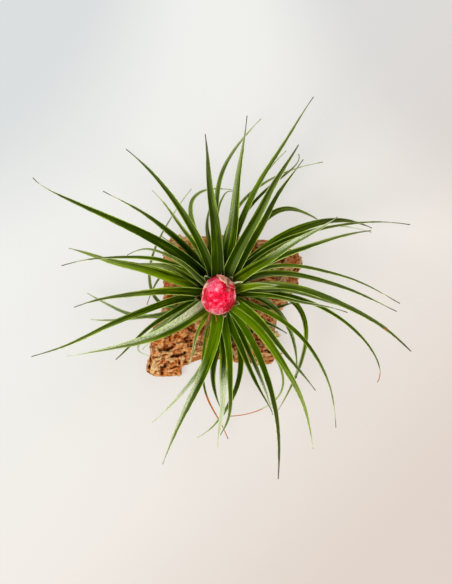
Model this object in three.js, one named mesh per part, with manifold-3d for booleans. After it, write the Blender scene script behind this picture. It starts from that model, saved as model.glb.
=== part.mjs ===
// An air plant in bud that has taken hold of a chunk of cork bark.
// Millimetres, +Z up. The origin is on the flat underside of the cork, straight below the stem.
import * as THREE from 'three';
import { mergeVertices } from 'three/addons/utils/BufferGeometryUtils.js';
import { ImprovedNoise } from 'three/addons/math/ImprovedNoise.js';
import Module from 'manifold-3d';

const wasm = await Module();
wasm.setup();

const UP = new THREE.Vector3(0, 0, 1);
const CLEARANCE = 0.35;
const GOLDEN_ANGLE = 137.5;

// Cork bark: an irregular chunk, flat below and ridged above
const CORK_TOP = 22;
const CORK_SEGMENTS = 66;
const CORK_SEAT_RADIUS = 9;
const CORK_SEAT_FADE = 9;
const CORK_RELIEF = 5.5;
const CORK_CREVICE = 4;
const CORK_RIDGE_LENGTH = 17;
const CORK_RIDGE_PITCH = 6.5;
const CORK_RIDGE_BEARING = 15;
const CORK_SIDE_BITE = 2.2;
const LEDGE_DROP = 9;
const LEDGE_WEST = -18;
const LEDGE_SOUTH = -34;
const LEDGE_SLOPE = 4;

// The cork's section: fractions of its edge radius and of its height, from below to above
const CORK_SECTION = [
  [0, 0], [0.93, 0], [0.975, 0.1], [1, 0.3], [0.97, 0.42], [1, 0.56], [0.965, 0.74], [0.94, 1],
  [0.86, 1], [0.78, 1], [0.69, 1], [0.6, 1], [0.5, 1], [0.4, 1], [0.28, 1], [0.15, 1], [0, 1],
];

// Edge of the cork seen from above, clockwise from the north-west corner
const CORK_EDGE = [
  [-27, 31], [-20, 32], [-10, 32], [4, 33], [15, 31], [23, 30], [30, 30], [39, 26],
  [45, 23], [46, 20], [46, 17], [43, 12], [44, 6], [39, -2], [38, -6], [32, -9],
  [32, -16], [31, -22], [32, -32], [31, -37], [24, -38], [17, -37], [11, -37],
  [-2, -35], [-10, -35], [-15, -37], [-18, -39.5], [-21.5, -44], [-29, -44],
  [-36, -44], [-39, -41], [-37, -38], [-37, -30], [-37, -19], [-32, -12],
  [-30, -3], [-30, 7], [-30, 21],
];

// Stem and the roots under it
const STEM_FOOT = 25;
const STEM_TOP = 55;
const STEM_FOOT_RADIUS = 5;
const STEM_TOP_RADIUS = 3.6;
const ROOT_COUNT = 8;
const ROOT_RADIUS = 0.8;
const ROOT_TIP_RADIUS = 0.45;
const ROOT_REACH = 19;
const ROOT_CROWN_RADIUS = 4.6;
const ROOT_STEPS = 9;
const ROOT_SIDES = 6;

// Leaves: channelled blades that taper to a point and arch evenly along their length
const LEAF_ROOT_RADIUS = 3;
const LEAF_ARCH = 22;
const LEAF_ARMS = [0.38, 0.38];
const LEAF_STEPS = 7;
const LEAF_CHANNEL = 0.26;
const LEAF_THICKNESS = 1.1;
const LEAF_TIP_THICKNESS = 0.7;
const LEAF_TIP_WIDTH = 0.7;
const SHEATH_WIDTH = 6;
const SHEATH_LENGTH = 5;

// Old leaves: a dry brown skirt on a collar round the foot of the stem
const SKIRT_FOOT = 25;
const SKIRT_TOP = 30;
const SKIRT_RADIUS = 7.4;
const SKIRT_COUNT = 10;
const SKIRT_REACH = 27;
const SKIRT_WIDTH = 2.6;
const SKIRT_LEAF_FOOT = 27;
const SKIRT_LEAF_TIP = 27.6;
const SKIRT_ARCH = 12;
const SKIRT_STEPS = 5;

// Flower head: a bud of overlapping bracts on a short stalk
const HEAD_FOOT = STEM_TOP + CLEARANCE;
const HEAD_MIDDLE = 68;
const HEAD_TOP = 82;
const HEAD_RADIUS = 7.85;
const HEAD_DEPTH_SCALE = 1.16;
const HEAD_STALK_RADIUS = 2.6;
const CORE_HEIGHTS = [58, 60, 62, 65, 68, 71, 74, 77, 79.5];
const CORE_INSET = 0.7;
const BRACT_COUNT = 14;
const BRACT_LOWEST_FOOT = 60;
const BRACT_HIGHEST_FOOT = 68;
const BRACT_LOWEST_TIP = 74;
const BRACT_HIGHEST_TIP = HEAD_TOP + 0.6;
const BRACT_PROUD = 0.7;
const BRACT_SUNK = 2.2;
const BRACT_FLARE = 1.5;

// Each leaf by the bearing it leaves the stem on, the bearing and distance of its tip, its
// heading there, its width half way along, and the heights of its root and of its tip.
// Bearings run anticlockwise from +X. Arms say how far a leaf holds each end's direction.
const UPPER_LEAVES = [
  { start: 92, tip: 94.8, reach: 84, heading: 96, width: 5.3, foot: 49, high: 96 },
  { start: 74, tip: 80.9, reach: 95, heading: 82, width: 5.8, foot: 48, high: 84 },
  { start: 78, tip: 64, reach: 116, heading: 55, width: 3.6, foot: 45, high: 62 },
  { start: 67, tip: 62.1, reach: 89, heading: 60, width: 4.4, foot: 50, high: 92 },
  { start: 52, tip: 58.1, reach: 84, heading: 53, width: 3.8, foot: 47, high: 80 },
  { start: 104, tip: 122.4, reach: 90, heading: 141, width: 5, foot: 50, high: 84 },
  { start: 131, tip: 147.4, reach: 115, heading: 139, width: 6.2, foot: 46, high: 72, arms: [0.52, 0.2] },
  { start: 139, tip: 156, reach: 52, heading: 205, width: 2.1, foot: 51, high: 90, arms: [0.55, 0.35] },
  { start: 139, tip: 169.8, reach: 81, heading: 193, width: 2.1, foot: 50, high: 90, arms: [0.5, 0.4] },
  { start: 155, tip: 162.8, reach: 82, heading: 163, width: 5, foot: 47, high: 76 },
  { start: 140, tip: 158.4, reach: 46, heading: 178, width: 4.8, foot: 46, high: 86, arch: 12 },
  { start: 172, tip: 185, reach: 75, heading: 198, width: 4.4, foot: 50, high: 96 },
  { start: 180, tip: 198.5, reach: 103, heading: 198, width: 4.6, foot: 46, high: 76 },
  { start: 223, tip: 201.8, reach: 83, heading: 190, width: 5.4, foot: 50, high: 92 },
  { start: 238, tip: 247.5, reach: 40, heading: 258, width: 2.1, foot: 47, high: 82, arch: 12 },
  { start: 266, tip: 242.5, reach: 75, heading: 227, width: 3.2, foot: 48, high: 72 },
  { start: 268, tip: 251.7, reach: 93, heading: 248, width: 5.6, foot: 49, high: 86 },
  { start: 314, tip: 288.4, reach: 102, heading: 268, width: 4.6, foot: 47, high: 70 },
  { start: 332, tip: 302.3, reach: 93.5, heading: 278, width: 5, foot: 49, high: 82 },
  { start: 342, tip: 315.3, reach: 71, heading: 308, width: 4, foot: 51, high: 95 },
  { start: 22, tip: 343.9, reach: 106, heading: 318, width: 3.9, foot: 46, high: 68 },
  { start: 36, tip: 23.4, reach: 87, heading: 14, width: 3.6, foot: 48, high: 80 },
  { start: 40, tip: 33, reach: 68, heading: 42, width: 4.8, foot: 50, high: 92 },
  { start: 20, tip: 9.9, reach: 34, heading: 5, width: 3.4, foot: 46, high: 78, arch: 4 },
];

const MIDDLE_LEAVES = [
  { start: 108, tip: 122.3, reach: 65, heading: 132, width: 2.7, foot: 39, high: 68 },
  { start: 118, tip: 137.6, reach: 82, heading: 150, width: 3.7, foot: 37, high: 56, arms: [0.5, 0.42] },
  { start: 125, tip: 133.5, reach: 43, heading: 140, width: 2.4, foot: 40, high: 62 },
  { start: 190, tip: 212, reach: 64, heading: 225, width: 2.7, foot: 38, high: 58 },
  { start: 196, tip: 216.3, reach: 49, heading: 228, width: 2.4, foot: 40, high: 64 },
  { start: 208, tip: 215, reach: 29, heading: 222, width: 2.4, foot: 37, high: 52 },
  { start: 282, tip: 270.2, reach: 81, heading: 266, width: 4.7, foot: 38, high: 58 },
  { start: 284, tip: 271.2, reach: 74, heading: 235, width: 3.2, foot: 40, high: 68, arms: [0.4, 0.2] },
  { start: 292, tip: 294, reach: 68, heading: 296, width: 3.2, foot: 39, high: 56 },
  { start: 304, tip: 294.4, reach: 70, heading: 287, width: 2.6, foot: 36, high: 46 },
  { start: 346, tip: 311.8, reach: 94, heading: 272, width: 4, foot: 39, high: 56, arms: [0.56, 0.42] },
  { start: 5, tip: 331.3, reach: 96, heading: 235, width: 2.7, foot: 37, high: 50, arms: [0.62, 0.2] },
  { start: 4, tip: 352.2, reach: 69, heading: 345, width: 2.1, foot: 40, high: 62 },
  { start: 12, tip: 353.7, reach: 68, heading: 333, width: 2.7, foot: 37, high: 50 },
  { start: 36, tip: 355, reach: 95, heading: 337, width: 2.7, foot: 38, high: 58 },
  { start: 42, tip: 357.6, reach: 96, heading: 332, width: 1.9, foot: 41, high: 70 },
  { start: 49, tip: 20, reach: 108, heading: 355, width: 2.1, foot: 39, high: 58 },
  { start: 46, tip: 23.4, reach: 89, heading: 338, width: 4.2, foot: 37, high: 46, arms: [0.45, 0.42] },
];

const LOWER_LEAVES = [
  { start: 100, tip: 95.6, reach: 49, heading: 82, width: 3, foot: 34, high: 36 },
  { start: 97, tip: 76.1, reach: 97, heading: 44, width: 2.1, foot: 32, high: 20, arms: [0.65, 0.4] },
  { start: 78, tip: 64.9, reach: 85, heading: 47, width: 1.6, foot: 34, high: 36 },
  { start: 88, tip: 51.8, reach: 91, heading: 15, width: 1.6, foot: 31, high: 14, arms: [0.6, 0.45] },
  { start: 76, tip: 60.2, reach: 87, heading: 78, width: 1.6, foot: 33, high: 24, arms: [0.65, 0.08] },
  { start: 92, tip: 78.6, reach: 54, heading: 325, width: 1.3, foot: 35, high: 44, arms: [0.8, 0.3] },
  { start: 114, tip: 80.4, reach: 57, heading: 358, width: 1.6, foot: 33, high: 32, arms: [0.97, 0.5] },
  { start: 188, tip: 104, reach: 58, heading: 47, width: 1.6, foot: 33, high: 36, arms: [0.86, 0.55] },
  { start: 152, tip: 188, reach: 38, heading: 262, width: 1.6, foot: 35, high: 36, arms: [0.75, 0.5] },
  { start: 205, tip: 222, reach: 49, heading: 350, width: 1.6, foot: 32, high: 30, arms: [0.9, 0.35] },
  { start: 200, tip: 178.9, reach: 70, heading: 143, width: 1.6, foot: 31, high: 14 },
  { start: 200, tip: 190.6, reach: 68, heading: 176, width: 2.1, foot: 34, high: 28 },
  { start: 268, tip: 271, reach: 60, heading: 295, width: 3.7, foot: 34, high: 36 },
  { start: 302, tip: 261.7, reach: 77, heading: 212, width: 2.7, foot: 33, high: 26, arms: [0.52, 0.38] },
  { start: 319, tip: 275.6, reach: 65, heading: 185, width: 1.6, foot: 31, high: 16, arms: [1, 0.62] },
  { start: 2, tip: 296.2, reach: 70, heading: 233, width: 2.4, foot: 33, high: 22, arms: [0.9, 0.45] },
  { start: 350, tip: 313.6, reach: 61, heading: 262, width: 2.7, foot: 35, high: 40, arms: [0.48, 0.4] },
  { start: 328, tip: 331, reach: 42, heading: 335, width: 2.7, foot: 34, high: 38 },
  { start: 340, tip: 355, reach: 42, heading: 25, width: 2.7, foot: 32, high: 34 },
  { start: 47, tip: 22.3, reach: 89, heading: 338, width: 1.6, foot: 33, high: 16 },
  { start: 63, tip: 33, reach: 68, heading: 318, width: 3.2, foot: 35, high: 30, arms: [0.75, 0.4] },
];

// The youngest leaves stand up round the head
const INNER_LEAVES = [
  { start: 336, tip: 336, reach: 15, heading: 336, width: 3.6, foot: 52, high: 74, arch: -26 },
  { start: 52, tip: 52, reach: 15, heading: 52, width: 3.4, foot: 52, high: 72, arch: -26 },
  { start: 124, tip: 122, reach: 15, heading: 122, width: 3.6, foot: 52, high: 75, arch: -26 },
  { start: 190, tip: 190, reach: 15, heading: 190, width: 3.4, foot: 52, high: 71, arch: -26 },
  { start: 262, tip: 262, reach: 15, heading: 262, width: 3.6, foot: 52, high: 73, arch: -26 },
];

// One old leaf is still long: it shows as a dry thread below the green ones
const LONG_DRY_LEAF = {
  start: 250, tip: 274.2, reach: 77.5, heading: 297, width: 1.6, foot: 27, high: 10, arms: [0.62, 0.3],
};

const LOOKS = {
  cork_bark: { color: 0xb0683c, roughness: 0.9 },
  roots: { color: 0x5a3b24, roughness: 0.8 },
  old_leaves: { color: 0xb07a4c, roughness: 0.8 },
  leafy_stem: { color: 0x5f7d2a, roughness: 0.55 },
  flower_head: { color: 0xe0264f, roughness: 0.5 },
};

const noise = new ImprovedNoise();
const radians = THREE.MathUtils.degToRad;
const { clamp, lerp, smoothstep } = THREE.MathUtils;

// A closed three.js geometry as a solid
function solidOf(geometry) {
  geometry.deleteAttribute('normal');
  geometry.deleteAttribute('uv');
  const welded = mergeVertices(geometry, 1e-4);
  const vertProperties = new Float32Array(welded.attributes.position.array);
  const triVerts = new Uint32Array(welded.index.array);
  return new wasm.Manifold(new wasm.Mesh({ numProp: 3, vertProperties, triVerts }));
}

// The biggest piece alone, with no scraps and no sealed hollows
function mainBody(solid) {
  const bodies = solid.decompose();
  return bodies.reduce((best, body) => (body.volume() > best.volume() ? body : best));
}

function meshOf(name, solid) {
  const { vertProperties, triVerts } = mainBody(solid).getMesh();
  const geometry = new THREE.BufferGeometry();
  geometry.setAttribute('position', new THREE.BufferAttribute(vertProperties, 3));
  geometry.setIndex(new THREE.BufferAttribute(triVerts, 1));
  geometry.computeVertexNormals();
  const material = new THREE.MeshStandardMaterial({ ...LOOKS[name], metalness: 0, flatShading: true });
  const mesh = new THREE.Mesh(geometry, material);
  mesh.name = name;
  return mesh;
}

function moveVertices(geometry, place) {
  const position = geometry.attributes.position;
  const vertex = new THREE.Vector3();
  for (let i = 0; i < position.count; i += 1) {
    place(vertex.fromBufferAttribute(position, i));
    position.setXYZ(i, vertex.x, vertex.y, vertex.z);
  }
  return geometry;
}

// A unit direction from a bearing in plan and a pitch above level, both in degrees
function direction(bearing, pitch = 0) {
  const level = Math.cos(radians(pitch));
  const angle = radians(bearing);
  return new THREE.Vector3(level * Math.cos(angle), level * Math.sin(angle), Math.sin(radians(pitch)));
}

// Distance from the origin to the cork's edge on a bearing
function corkEdgeRadius(angle) {
  const ray = new THREE.Vector2(Math.cos(angle), Math.sin(angle));
  for (let i = 0; i < CORK_EDGE.length; i += 1) {
    const [ax, ay] = CORK_EDGE[i];
    const [bx, by] = CORK_EDGE[(i + 1) % CORK_EDGE.length];
    const [ex, ey] = [bx - ax, by - ay];
    const spread = ray.x * ey - ray.y * ex;
    const distance = (ax * ey - ay * ex) / spread;
    const along = (ax * ray.y - ay * ray.x) / spread;
    if (distance > 0 && along >= 0 && along <= 1) return distance;
  }
  throw new Error('the cork edge is open');
}

// Height of the cork's ridged top: a seat at the stem, crevices, and a low ledge in the south-west
function corkHeight(x, y) {
  const turn = radians(CORK_RIDGE_BEARING);
  const along = (x * Math.cos(turn) + y * Math.sin(turn)) / CORK_RIDGE_LENGTH;
  const across = (y * Math.cos(turn) - x * Math.sin(turn)) / CORK_RIDGE_PITCH;
  const ridge = noise.noise(along, across, 0.4);
  const crack = noise.noise(along * 1.7 + 5, across * 0.9, 2.6);
  const crevice = CORK_CREVICE * (1 - smoothstep(Math.abs(crack), 0.02, 0.16));
  const away = smoothstep(Math.hypot(x, y), CORK_SEAT_RADIUS, CORK_SEAT_RADIUS + CORK_SEAT_FADE);
  const west = 1 - smoothstep(x, LEDGE_WEST - LEDGE_SLOPE, LEDGE_WEST);
  const south = 1 - smoothstep(y, LEDGE_SOUTH - LEDGE_SLOPE, LEDGE_SOUTH);
  return CORK_TOP + away * (CORK_RELIEF * ridge - crevice) - LEDGE_DROP * west * south;
}

function corkSolid() {
  const points = CORK_SECTION.map(([radius, level]) => new THREE.Vector2(radius, level));
  const chunk = new THREE.LatheGeometry(points, CORK_SEGMENTS);
  chunk.rotateX(Math.PI / 2);
  moveVertices(chunk, (vertex) => {
    const fraction = Math.hypot(vertex.x, vertex.y);
    const level = vertex.z;
    const angle = Math.atan2(vertex.y, vertex.x);
    const bite = CORK_SIDE_BITE * Math.abs(noise.noise(angle * 6, level * 7, 8.2));
    const onSide = level > 0 && level < 1 ? bite : 0;
    const radius = fraction * corkEdgeRadius(angle) - onSide;
    vertex.x = radius * Math.cos(angle);
    vertex.y = radius * Math.sin(angle);
    vertex.z = level * corkHeight(vertex.x, vertex.y);
  });
  return solidOf(chunk);
}

// Wiry roots that run out over the cork, half sunk in the grooves they sit in
function rootPath(index) {
  const bearing = index * 360 / ROOT_COUNT + 14 * Math.sin(index * 2.3);
  const reach = ROOT_REACH * (0.8 + 0.2 * Math.cos(index * 1.9));
  const points = [];
  for (let step = 0; step <= 6; step += 1) {
    const part = step / 6;
    const spot = direction(bearing + 16 * Math.sin(part * 5 + index)).multiplyScalar(2 + part * reach);
    spot.z = corkHeight(spot.x, spot.y) + lerp(2 * ROOT_RADIUS, 0, part);
    points.push(spot);
  }
  return new THREE.CatmullRomCurve3(points);
}

function rootSolid(index, extra) {
  const path = rootPath(index);
  const root = new THREE.CylinderGeometry(1, 1, 1, ROOT_SIDES, ROOT_STEPS);
  moveVertices(root, (vertex) => {
    const part = clamp(vertex.y + 0.5, 0, 1);
    const tangent = path.getTangent(part);
    const side = new THREE.Vector3().crossVectors(tangent, UP).normalize();
    const rise = new THREE.Vector3().crossVectors(side, tangent);
    const radius = lerp(ROOT_RADIUS, ROOT_TIP_RADIUS, part) + extra;
    const { x, z } = vertex;
    vertex.copy(path.getPoint(part));
    vertex.addScaledVector(tangent, part === 1 ? extra : 0);
    vertex.addScaledVector(side, x * radius);
    vertex.addScaledVector(rise, z * radius);
  });
  return solidOf(root);
}

function rootsSolid(extra = 0) {
  const crownFoot = CORK_TOP + CLEARANCE - extra;
  const crownHeight = STEM_FOOT - CLEARANCE - crownFoot;
  const crown = new THREE.CylinderGeometry(ROOT_CROWN_RADIUS - 0.6, ROOT_CROWN_RADIUS, crownHeight, 12);
  crown.rotateX(Math.PI / 2);
  crown.translate(0, 0, crownFoot + crownHeight / 2);
  const pieces = [solidOf(crown)];
  for (let index = 0; index < ROOT_COUNT; index += 1) {
    pieces.push(rootSolid(index, extra));
  }
  return wasm.Manifold.union(pieces);
}

// A leaf's middle line, from inside the stem to its tip
function leafLine(leaf) {
  const { start, tip, reach, heading, foot, high, arch = LEAF_ARCH, arms = LEAF_ARMS } = leaf;
  const root = direction(start).multiplyScalar(LEAF_ROOT_RADIUS).setZ(foot);
  const end = direction(tip).multiplyScalar(reach).setZ(high);
  const chord = root.distanceTo(end);
  const pitch = THREE.MathUtils.radToDeg(Math.asin((high - foot) / chord));
  const first = root.clone().addScaledVector(direction(start, pitch + arch), arms[0] * chord);
  const second = end.clone().addScaledVector(direction(heading, pitch - arch), -arms[1] * chord);
  return new THREE.CubicBezierCurve3(root, first, second, end);
}

// Width of a blade: nearly parallel at first, then drawn out to a point, on a wider sheath
function leafWidth(part, width, length) {
  const blade = 1.32 * width * (1 - part) ** 0.75 * (1 + 0.55 * part);
  const sheath = Math.max(0, SHEATH_WIDTH - 1.32 * width) * Math.exp(-part * length / SHEATH_LENGTH);
  return Math.max(LEAF_TIP_WIDTH, blade + sheath);
}

function leafSolid(leaf, steps = LEAF_STEPS) {
  const line = leafLine(leaf);
  const length = line.getLength();
  const blade = new THREE.CylinderGeometry(1, 1, 1, 4, steps);
  moveVertices(blade, (vertex) => {
    const part = clamp(vertex.y + 0.5, 0, 1);
    const tangent = line.getTangent(part);
    const side = new THREE.Vector3().crossVectors(tangent, UP).normalize();
    const rise = new THREE.Vector3().crossVectors(side, tangent);
    const width = leafWidth(part, leaf.width, length);
    const thickness = lerp(LEAF_THICKNESS, LEAF_TIP_THICKNESS, part);
    const { x, z } = vertex;
    vertex.copy(line.getPoint(part));
    vertex.addScaledVector(side, x * width / 2);
    vertex.addScaledVector(rise, z * thickness / 2 + Math.abs(x) * LEAF_CHANNEL * width);
  });
  return solidOf(blade);
}

function leafyStemSolid() {
  const height = STEM_TOP - STEM_FOOT;
  const stem = new THREE.CylinderGeometry(STEM_TOP_RADIUS, STEM_FOOT_RADIUS, height, 14);
  stem.rotateX(Math.PI / 2);
  stem.translate(0, 0, STEM_FOOT + height / 2);
  const leaves = [...UPPER_LEAVES, ...MIDDLE_LEAVES, ...LOWER_LEAVES, ...INNER_LEAVES];
  return wasm.Manifold.union([solidOf(stem), ...leaves.map((leaf) => leafSolid(leaf))]);
}

function oldLeavesSolid() {
  const inner = STEM_FOOT_RADIUS + CLEARANCE;
  const section = [
    [inner, SKIRT_FOOT], [SKIRT_RADIUS, SKIRT_FOOT], [SKIRT_RADIUS - 0.6, SKIRT_TOP],
    [inner, SKIRT_TOP], [inner, SKIRT_FOOT],
  ];
  const points = section.map(([radius, height]) => new THREE.Vector2(radius, height));
  const collar = new THREE.LatheGeometry(points, 20);
  collar.rotateX(Math.PI / 2);
  const stemRoom = new THREE.CylinderGeometry(inner, inner, 3 * SKIRT_TOP, 20);
  stemRoom.rotateX(Math.PI / 2);
  const leaves = [leafSolid(LONG_DRY_LEAF)];
  for (let index = 0; index < SKIRT_COUNT; index += 1) {
    const start = index * GOLDEN_ANGLE;
    leaves.push(leafSolid({
      start,
      tip: start + 12 * Math.sin(index * 1.3),
      reach: SKIRT_REACH + 7 * Math.sin(index * 2.1),
      heading: start + 25 * Math.sin(index * 1.7),
      width: SKIRT_WIDTH,
      foot: SKIRT_LEAF_FOOT,
      high: SKIRT_LEAF_TIP,
      arch: SKIRT_ARCH,
    }, SKIRT_STEPS));
  }
  return wasm.Manifold.union([solidOf(collar), ...leaves]).subtract(solidOf(stemRoom));
}

// Radius of the closed bud at a height
function headRadius(height) {
  const half = height > HEAD_MIDDLE ? HEAD_TOP - HEAD_MIDDLE : HEAD_MIDDLE - HEAD_FOOT - 2;
  const away = clamp((height - HEAD_MIDDLE) / half, -1, 1);
  return HEAD_RADIUS * Math.sqrt(1 - away * away);
}

function bractSolid(index) {
  const inwards = index / (BRACT_COUNT - 1);
  const bearing = index * GOLDEN_ANGLE;
  const foot = lerp(BRACT_LOWEST_FOOT, BRACT_HIGHEST_FOOT, inwards);
  const tip = lerp(BRACT_LOWEST_TIP, BRACT_HIGHEST_TIP, inwards);
  const halfWidth = lerp(6.6, 5, inwards);
  const proud = lerp(0.7, -0.4, inwards);
  const bract = new THREE.SphereGeometry(1, 6, 5);
  moveVertices(bract, (vertex) => {
    const part = (vertex.y + 1) / 2;
    const height = lerp(foot, tip, part);
    const radius = Math.max(headRadius(height), 1) + proud + BRACT_FLARE * part ** 2 * (1 - 0.7 * inwards);
    const angle = radians(bearing) + vertex.x * halfWidth * (1.15 - 0.45 * part) / Math.max(radius, 3.5);
    const reach = radius + vertex.z * (vertex.z > 0 ? BRACT_PROUD : BRACT_SUNK);
    vertex.set(reach * Math.cos(angle), reach * Math.sin(angle) * HEAD_DEPTH_SCALE, height);
  });
  return solidOf(bract);
}

function flowerHeadSolid() {
  const outline = [new THREE.Vector2(0, HEAD_FOOT), new THREE.Vector2(HEAD_STALK_RADIUS, HEAD_FOOT)];
  for (const height of CORE_HEIGHTS) {
    const radius = Math.max(HEAD_STALK_RADIUS, headRadius(height) - CORE_INSET);
    outline.push(new THREE.Vector2(radius, height));
  }
  outline.push(new THREE.Vector2(0, HEAD_TOP - 1));
  const core = new THREE.LatheGeometry(outline, 16);
  core.rotateX(Math.PI / 2);
  core.scale(1, HEAD_DEPTH_SCALE, 1);
  const bracts = Array.from({ length: BRACT_COUNT }, (unused, index) => bractSolid(index));
  return wasm.Manifold.union([solidOf(core), ...bracts]);
}

const plant = new THREE.Group();
plant.add(meshOf('cork_bark', corkSolid().subtract(rootsSolid(CLEARANCE))));
plant.add(meshOf('roots', rootsSolid()));
plant.add(meshOf('old_leaves', oldLeavesSolid()));
plant.add(meshOf('leafy_stem', leafyStemSolid()));
plant.add(meshOf('flower_head', flowerHeadSolid()));

export default plant;
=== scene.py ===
"""An air plant in bud that has taken hold of a chunk of cork bark.

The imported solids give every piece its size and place. Each of them is made again here with its
finished surface. Shapes are worked out in millimetres and brought to metres as they become objects.
"""

import random
from math import asin, atan2, copysign, cos, degrees, exp, hypot, radians, sin, tau
from typing import NamedTuple

import bmesh
import bpy
from mathutils import Matrix, Vector, kdtree
from mathutils.noise import noise, ridged_multi_fractal


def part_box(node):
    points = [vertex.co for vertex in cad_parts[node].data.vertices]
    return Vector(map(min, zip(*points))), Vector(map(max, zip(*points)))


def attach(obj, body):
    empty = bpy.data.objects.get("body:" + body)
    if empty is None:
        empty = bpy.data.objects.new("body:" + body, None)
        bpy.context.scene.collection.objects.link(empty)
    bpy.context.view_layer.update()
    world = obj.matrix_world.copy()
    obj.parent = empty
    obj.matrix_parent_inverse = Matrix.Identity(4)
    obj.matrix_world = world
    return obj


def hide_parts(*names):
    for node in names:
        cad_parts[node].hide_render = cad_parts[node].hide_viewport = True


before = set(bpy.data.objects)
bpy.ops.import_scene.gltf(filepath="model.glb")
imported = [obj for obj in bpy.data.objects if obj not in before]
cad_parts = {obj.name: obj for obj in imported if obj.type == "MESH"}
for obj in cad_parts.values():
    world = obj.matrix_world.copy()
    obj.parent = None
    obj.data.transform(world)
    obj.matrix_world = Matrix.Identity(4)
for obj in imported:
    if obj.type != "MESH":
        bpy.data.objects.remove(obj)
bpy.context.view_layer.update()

MM = 0.001
UP = Vector((0, 0, 1))
GOLDEN_ANGLE = 137.5

# The photograph: its size, how much one of its pixels shows, and where the plant's axis is in it
PHOTO_SIZE = (452, 584)
MM_PER_PIXEL = 0.53
PHOTO_AXIS = (218, 295)
CAMERA_DISTANCE = 2500
CAMERA_FOCUS_HEIGHT = 50

# The studio, in metres and watts, and where the ground's tints fade out, drift and deepen
SKY_TINT = (1, 0.99, 0.96, 1)
SKY_STRENGTH = 0.36
KEY_LAMP = dict(place=(-0.35, -0.3, 1.2), size=0.4, power=11.5, tint=(1, 0.98, 0.94))
FILL_LAMP = dict(place=(0.5, 0.5, 1.1), size=0.5, power=5.5, tint=(1, 0.98, 0.96))
LAMP_AIM = Vector((0, 0, 0.04))
GROUND_SIZE = 3
GROUND_DROP = 0.0003
GROUND_GLOW = 2.2
GROUND_FADE = (420, 190)
GROUND_DRIFT = (-220, 260)
GROUND_BACK = (1500, 12000)
GROUND_FRONT = (30, 240)

# Stem and leaf feet, as the solids have them, and the stem's scars and lumps
STEM_FOOT = 25
STEM_TOP = 55
STEM_FOOT_RADIUS = 5
STEM_TOP_RADIUS = 3.6
STEM_SCAR = 0.22
STEM_SCAR_PACE = 2.6
STEM_LUMP = 0.15
STEM_LUMP_PACE = 0.6
LEAF_ROOT_RADIUS = 3
SHEATH_LENGTH = 5

# How finely a blade is cut, how it narrows, how thin it gets, and how it sways and rolls
BLADE_SIDES = 16
BLADE_RINGS = 34
BLADE_CHANNEL = 0.36
BLADE_FLATTENING = 0.25
BLADE_THICKNESS = 0.95
BLADE_THICKNESS_SHARE = 0.7
BLADE_TIP_THICKNESS = 0.25
BLADE_TIP_WIDTH = 0.5
SWAY = 0.5
SWAY_TURNS = (1.2, 2.4)
ROLL = 16
TONE_SPREAD = 0.05
BLADE_CREASE = 1.5
BLADE_ROOT_SHARE = 1.4
BLADE_FULLNESS = 1.6
LENGTH_STEPS = 20
BLADE_LAYERS = ("along", "across", "rim", "tone", "frost", "sun", "edge", "foot_light", "fade", "dry")

# Where a leaf's look changes, from one half to the other and along it
HALF_BLEND = 0.15
FROST_RUN = 0.3
FROST_LOSS = 0.4
SUN_LOSS = 0.5
DRY_RUN = (-0.03, 0.12)
SCAR_SIDES = (0.005, 0.022)
SCAR_ACROSS = (-1.2, 0.1)
# Leaves that start towards this bearing get painted light at the foot, and those that start away from it
# get painted shade
FOOT_LIGHT_BEARING = 290

# The dry skirt round the foot of the stem, and the old leaf bases that clasp it
SKIRT_COUNT = 10
BASE_COUNT = 22
BASE_LOWEST = 28
BASE_STEP = 0.9
BASE_RISE = 10


class Leaf(NamedTuple):
    """One leaf. Bearings run anticlockwise from the east.

    Edge, frost and sun are one number or a pair, for the left and right half seen from the foot.
    """
    start: float  # bearing where it leaves the stem
    tip: float  # bearing of its tip
    reach: float  # distance of its tip from the stem's axis
    heading: float  # bearing in which its tip points
    width: float  # half way along
    foot: float  # height where it leaves the stem
    high: float  # height of its tip
    tone: float  # from dark to light
    edge: object  # how pale its margin is
    fade: float  # how pale its outer part is, or how dull where this is below 0
    arch: float = 22  # how far it rises at its foot and droops at its tip, in degrees
    arms: tuple = (0.38, 0.38)  # how firmly it holds its bearing at its foot and at its tip
    taper: float = 0.8  # it stays wide for longer where this is low
    sheath: float = 6  # width where it clasps the stem
    frost: object = 0  # silvery scurf
    late: float = -1  # how far along the frost begins
    until: float = 2  # how far along the frost starts to thin out
    # Painted light: sun is a sunlit yellow-green on a leaf half that faces the light
    sun: object = 0  # yellow-green
    dry: float = 2  # how far along it starts to wither
    spot: float = 2  # how far along it has a small dried scar


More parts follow.
